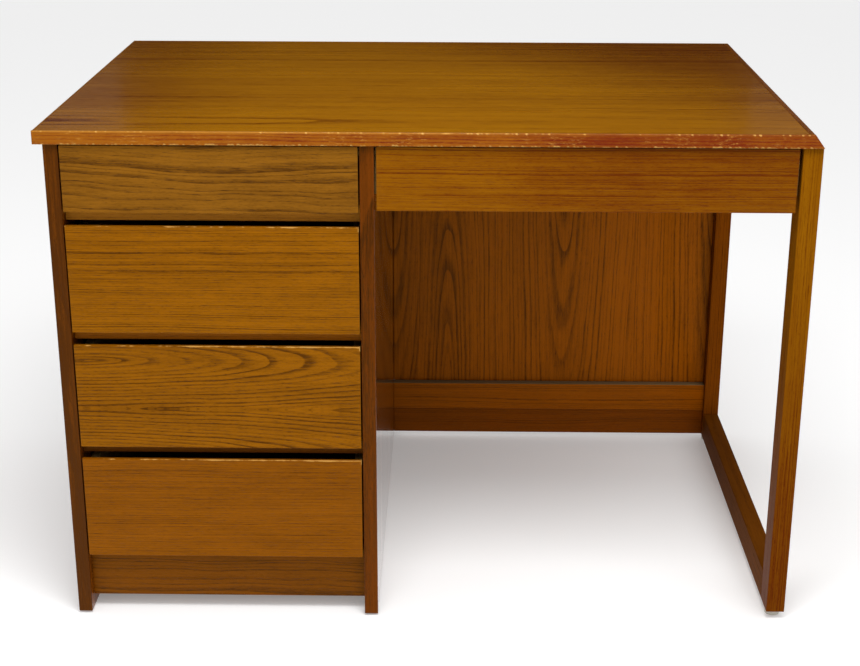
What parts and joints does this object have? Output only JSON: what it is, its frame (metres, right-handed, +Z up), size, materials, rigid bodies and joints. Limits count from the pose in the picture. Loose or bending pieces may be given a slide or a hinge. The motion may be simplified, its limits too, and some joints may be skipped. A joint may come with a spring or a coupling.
{
  "type": "teacher desk",
  "caption": "Single-pedestal wooden teacher desk with sliding drawers under a flat top, an open side frame, a kneehole with a shallow centre drawer and a modesty panel.",
  "frame": {"origin": "middle of the desk's footprint, on the floor that the glides stand on", "axes": "+X along the width, towards the open side frame; -Y towards the person who sits at the desk, the way the drawers open; +Z up"},
  "size_m": [1.067, 0.737, 0.737],
  "materials": {
    "oak_top": "varnished oak veneer, satin gloss, worn",
    "edge_strip": "reddish solid wood strip, varnish worn and chipped along its edges",
    "oak_front": "varnished oak, satin gloss",
    "oak_panel": "varnished oak veneer with upright grain, satin gloss",
    "oak_case": "varnished oak, satin gloss, darker on the edges",
    "oak_frame": "varnished solid oak, satin gloss",
    "inner_wood": "plain pale hardwood, sealed, dull",
    "drawer_bottom": "tempered hardboard, smooth, dull",
    "glide": "pale nylon, matt, scuffed",
    "screw": "zinc-plated steel"
  },
  "bodies": {
    "desk": {"top_panel": "oak_top", "top_front_edge": "edge_strip", "top_left_edge": "oak_top", "top_right_edge": "oak_top", "top_rear_edge": "oak_top", "left_side_panel": "oak_case", "pedestal_inner_panel": "oak_case", "pedestal_back_panel": "oak_case", "pedestal_front_stretcher": "inner_wood", "pedestal_rear_stretcher": "inner_wood", "kneehole_stretcher": "inner_wood", "base_rail": "oak_case", "left_drawer_runners": "inner_wood", "right_drawer_runners": "inner_wood", "modesty_panel": "oak_panel", "modesty_lower_rail": "oak_case", "modesty_foot_rail": "oak_case", "modesty_upper_rail": "oak_case", "front_leg": "oak_frame", "rear_leg": "oak_frame", "frame_foot_rail": "oak_frame", "frame_top_rail": "oak_frame", "centre_runner_left": "inner_wood", "centre_runner_right": "inner_wood", "pedestal_glides": "glide", "frame_glides": "glide", "top_screws": "screw", "lower_drawer_rail": "oak_case", "middle_drawer_rail": "oak_case", "upper_drawer_rail": "oak_case"},
    "lower_drawer": {"lower_drawer_front": "oak_front", "lower_drawer_left_side": "inner_wood", "lower_drawer_right_side": "inner_wood", "lower_drawer_back": "inner_wood", "lower_drawer_bottom": "drawer_bottom"},
    "middle_drawer": {"middle_drawer_front": "oak_front", "middle_drawer_left_side": "inner_wood", "middle_drawer_right_side": "inner_wood", "middle_drawer_back": "inner_wood", "middle_drawer_bottom": "drawer_bottom"},
    "upper_drawer": {"upper_drawer_front": "oak_front", "upper_drawer_left_side": "inner_wood", "upper_drawer_right_side": "inner_wood", "upper_drawer_back": "inner_wood", "upper_drawer_bottom": "drawer_bottom"},
    "shallow_drawer": {"shallow_drawer_front": "oak_front", "shallow_drawer_left_side": "inner_wood", "shallow_drawer_right_side": "inner_wood", "shallow_drawer_back": "inner_wood", "shallow_drawer_bottom": "drawer_bottom"},
    "centre_drawer": {"centre_drawer_front": "oak_front", "centre_drawer_left_side": "inner_wood", "centre_drawer_right_side": "inner_wood", "centre_drawer_back": "inner_wood", "centre_drawer_bottom": "drawer_bottom"}
  },
  "joints": [
    {"name": "lower_drawer_slide", "type": "slide", "parent": "desk", "child": "lower_drawer", "axis": [0, -1, 0], "range_m": [0, 0.4]},
    {"name": "middle_drawer_slide", "type": "slide", "parent": "desk", "child": "middle_drawer", "axis": [0, -1, 0], "range_m": [0, 0.4]},
    {"name": "upper_drawer_slide", "type": "slide", "parent": "desk", "child": "upper_drawer", "axis": [0, -1, 0], "range_m": [0, 0.4]},
    {"name": "shallow_drawer_slide", "type": "slide", "parent": "desk", "child": "shallow_drawer", "axis": [0, -1, 0], "range_m": [0, 0.4]},
    {"name": "centre_drawer_slide", "type": "slide", "parent": "desk", "child": "centre_drawer", "axis": [0, -1, 0], "range_m": [0, 0.33]}
  ]
}
